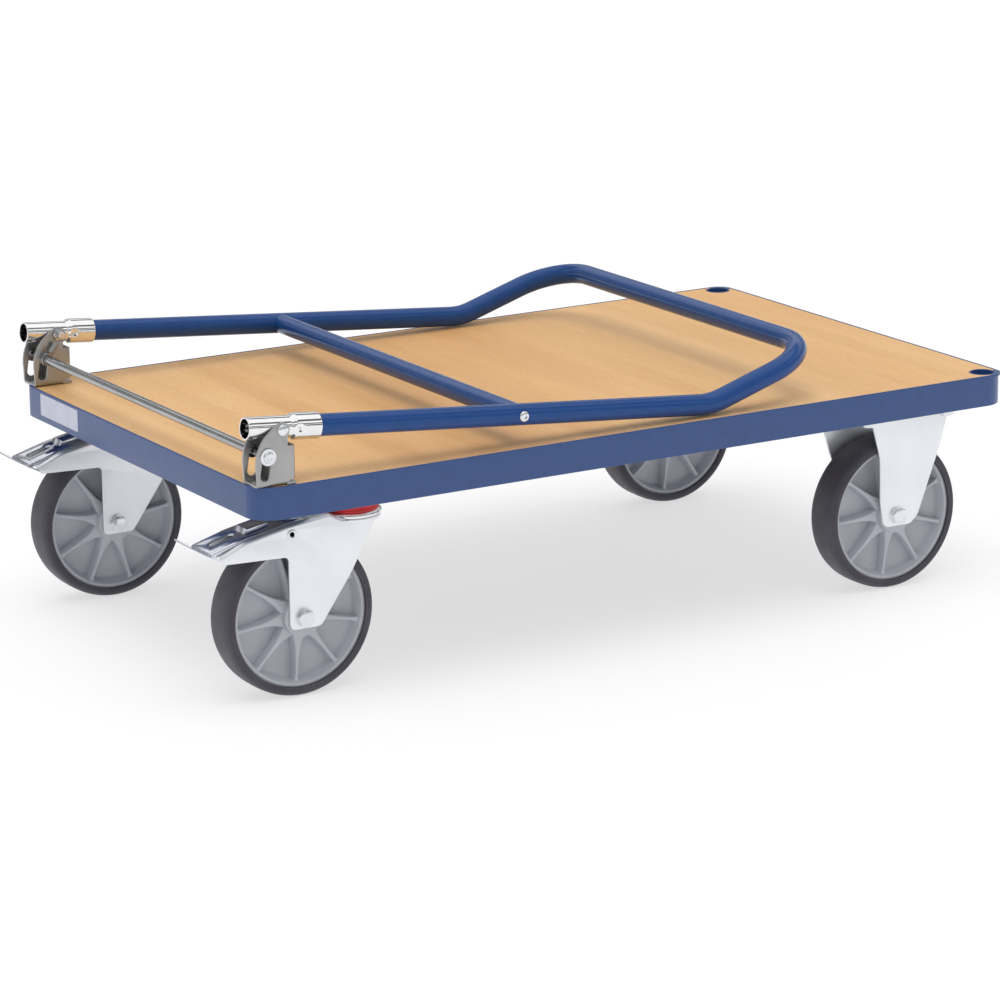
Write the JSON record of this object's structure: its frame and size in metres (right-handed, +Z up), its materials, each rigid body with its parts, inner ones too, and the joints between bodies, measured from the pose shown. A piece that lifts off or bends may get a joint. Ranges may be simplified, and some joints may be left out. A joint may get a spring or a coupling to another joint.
{
  "type": "folding platform cart",
  "caption": "Flat platform cart with a wooden deck in a steel frame, a fold-flat push bow, two braked swivel casters and two fixed casters.",
  "frame": {"origin": "on the floor under the middle of the overall box", "axes": "+X from the hinge end to the fixed-caster end, +Y to the far side, +Z up"},
  "size_m": [1.14, 0.663, 0.36],
  "materials": {
    "blue_powder_coat": "gloss powder coat",
    "beech_board": "satin beech veneer",
    "label_film": "blank printed film",
    "chrome_plate": "bright plating",
    "rubber_tyre": "matte elastic rubber",
    "grey_plastic": "moulded",
    "red_plastic": "moulded seal",
    "satin_steel": "satin zinc",
    "spring_steel": "drawn wire",
    "zinc_steel": "bright zinc plate",
    "plated_fasteners": "bright zinc plate"
  },
  "bodies": {
    "chassis": {"bracket_screws": "plated_fasteners", "caster_bolts": "plated_fasteners", "caster_nuts": "plated_fasteners", "corner_socket_far": "blue_powder_coat", "corner_socket_near": "blue_powder_coat", "cross_rail_1": "blue_powder_coat", "cross_rail_2": "blue_powder_coat", "cross_rail_3": "blue_powder_coat", "cross_rail_4": "blue_powder_coat", "deck_board": "beech_board", "fixed_axle_bolts": "plated_fasteners", "fixed_axle_nuts": "plated_fasteners", "fixed_axle_sleeves": "plated_fasteners", "fixed_fork_far": "zinc_steel", "fixed_fork_near": "zinc_steel", "frame": "blue_powder_coat", "hinge_bracket_far": "satin_steel", "hinge_bracket_near": "satin_steel", "king_pin_far": "plated_fasteners", "king_pin_near": "plated_fasteners", "label": "label_film", "pivot_bolt_far": "plated_fasteners", "pivot_bolt_near": "plated_fasteners", "pivot_nuts": "plated_fasteners", "swivel_plate_far": "zinc_steel", "swivel_plate_near": "zinc_steel"},
    "bow": {"brace_screws": "plated_fasteners", "cross_brace": "blue_powder_coat", "hinge_tube_far": "chrome_plate", "hinge_tube_near": "chrome_plate", "leg_rivets": "chrome_plate", "push_bow": "blue_powder_coat"},
    "release": {"bar_caps": "plated_fasteners", "release_bar": "satin_steel", "return_spring_far": "spring_steel", "return_spring_near": "spring_steel"},
    "swivel_near": {"brake_pin_near": "plated_fasteners", "crown_ring_near": "zinc_steel", "dust_seal_near": "red_plastic", "swivel_axle_bolt_near": "plated_fasteners", "swivel_axle_nut_near": "plated_fasteners", "swivel_axle_sleeve_near": "plated_fasteners", "swivel_fork_near": "zinc_steel"},
    "pedal_near": {"brake_pedal_near": "zinc_steel"},
    "wheel_swivel_near": {"rim_swivel_near": "grey_plastic", "tyre_swivel_near": "rubber_tyre"},
    "wheel_fixed_near": {"rim_fixed_near": "grey_plastic", "tyre_fixed_near": "rubber_tyre"},
    "swivel_far": {"brake_pin_far": "plated_fasteners", "crown_ring_far": "zinc_steel", "dust_seal_far": "red_plastic", "swivel_axle_bolt_far": "plated_fasteners", "swivel_axle_nut_far": "plated_fasteners", "swivel_axle_sleeve_far": "plated_fasteners", "swivel_fork_far": "zinc_steel"},
    "pedal_far": {"brake_pedal_far": "zinc_steel"},
    "wheel_swivel_far": {"rim_swivel_far": "grey_plastic", "tyre_swivel_far": "rubber_tyre"},
    "wheel_fixed_far": {"rim_fixed_far": "grey_plastic", "tyre_fixed_far": "rubber_tyre"}
  },
  "joints": [
    {"name": "bow_fold", "type": "hinge", "parent": "chassis", "child": "bow", "pos_m": [-0.4825, 0, 0.343], "axis": [0, -1, 0], "range_deg": [0, 92]},
    {"name": "release_slide", "type": "slide", "parent": "chassis", "child": "release", "axis": [-0.1736, 0, -0.9848], "range_m": [0, 0.0246], "deforming": ["return_spring_near", "return_spring_far"]},
    {"name": "swivel_near", "type": "hinge", "parent": "chassis", "child": "swivel_near", "pos_m": [-0.359, -0.256, 0.2], "axis": [0, 0, 1], "continuous": true},
    {"name": "brake_near", "type": "hinge", "parent": "swivel_near", "child": "pedal_near", "pos_m": [-0.4544, -0.256, 0.205], "axis": [0, -1, 0], "range_deg": [0, 10]},
    {"name": "spin_swivel_near", "type": "hinge", "parent": "swivel_near", "child": "wheel_swivel_near", "pos_m": [-0.44, -0.256, 0.1], "axis": [0, 1, 0], "continuous": true},
    {"name": "spin_fixed_near", "type": "hinge", "parent": "chassis", "child": "wheel_fixed_near", "pos_m": [0.424, -0.26, 0.1], "axis": [0, 1, 0], "continuous": true},
    {"name": "swivel_far", "type": "hinge", "parent": "chassis", "child": "swivel_far", "pos_m": [-0.359, 0.256, 0.2], "axis": [0, 0, 1], "continuous": true},
    {"name": "brake_far", "type": "hinge", "parent": "swivel_far", "child": "pedal_far", "pos_m": [-0.4544, 0.256, 0.205], "axis": [0, -1, 0], "range_deg": [0, 10]},
    {"name": "spin_swivel_far", "type": "hinge", "parent": "swivel_far", "child": "wheel_swivel_far", "pos_m": [-0.44, 0.256, 0.1], "axis": [0, 1, 0], "continuous": true},
    {"name": "spin_fixed_far", "type": "hinge", "parent": "chassis", "child": "wheel_fixed_far", "pos_m": [0.424, 0.26, 0.1], "axis": [0, 1, 0], "continuous": true}
  ],
  "couplings": [
    {"joint": "release_slide", "follows": "bow_fold", "m_per_rad": 0.0153}
  ]
}
